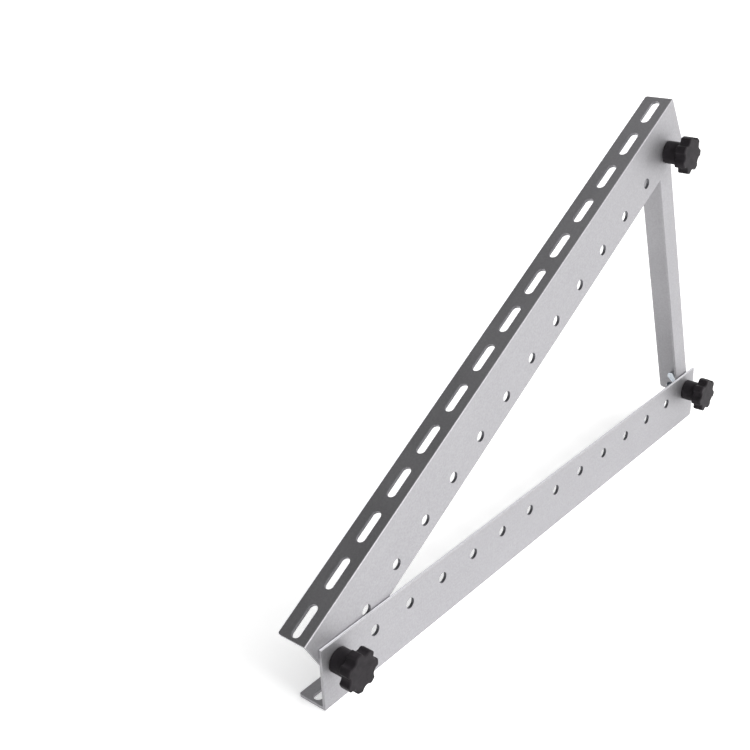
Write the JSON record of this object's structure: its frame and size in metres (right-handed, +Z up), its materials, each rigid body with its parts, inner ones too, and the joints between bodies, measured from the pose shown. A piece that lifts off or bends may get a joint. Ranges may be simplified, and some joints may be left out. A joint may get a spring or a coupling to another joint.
{
  "type": "solar panel tilt bracket",
  "caption": "Triangular tilt bracket for a solar panel: two punched aluminium angle rails and a rear leg, joined by black star-knob screws with wing nuts.",
  "frame": {"origin": "on the underside of the foot flange, in the middle of its line of slots", "axes": "+X from the front bolt to the rear bolts, +Y inwards to the side of the flanges and wing nuts, +Z up; the knobs are on the -Y side"},
  "size_m": [0.5643, 0.0589, 0.3359],
  "materials": {
    "anodised_aluminium": "satin",
    "black_plastic": "satin",
    "zinc_plated_steel": "bright"
  },
  "bodies": {
    "frame": {"base_rail": "anodised_aluminium", "tilt_rail": "anodised_aluminium", "rear_leg": "anodised_aluminium", "front_washer": "zinc_plated_steel", "front_wing_nut": "zinc_plated_steel", "rear_washer": "zinc_plated_steel", "rear_wing_nut": "zinc_plated_steel", "top_washer": "zinc_plated_steel", "top_wing_nut": "zinc_plated_steel"},
    "front_screw": {"front_knob": "black_plastic", "front_stud": "zinc_plated_steel"},
    "rear_screw": {"rear_knob": "black_plastic", "rear_stud": "zinc_plated_steel"},
    "top_screw": {"top_knob": "black_plastic", "top_stud": "zinc_plated_steel"}
  },
  "joints": [
    {"name": "front_knob_turn", "type": "hinge", "parent": "frame", "child": "front_screw", "pos_m": [-0.26, -0.0125, 0.0352], "axis": [0, -1, 0], "continuous": true},
    {"name": "rear_knob_turn", "type": "hinge", "parent": "frame", "child": "rear_screw", "pos_m": [0.26, -0.0125, 0.0352], "axis": [0, -1, 0], "continuous": true},
    {"name": "top_knob_turn", "type": "hinge", "parent": "frame", "child": "top_screw", "pos_m": [0.19273, -0.01, 0.291], "axis": [0, -1, 0], "continuous": true}
  ]
}
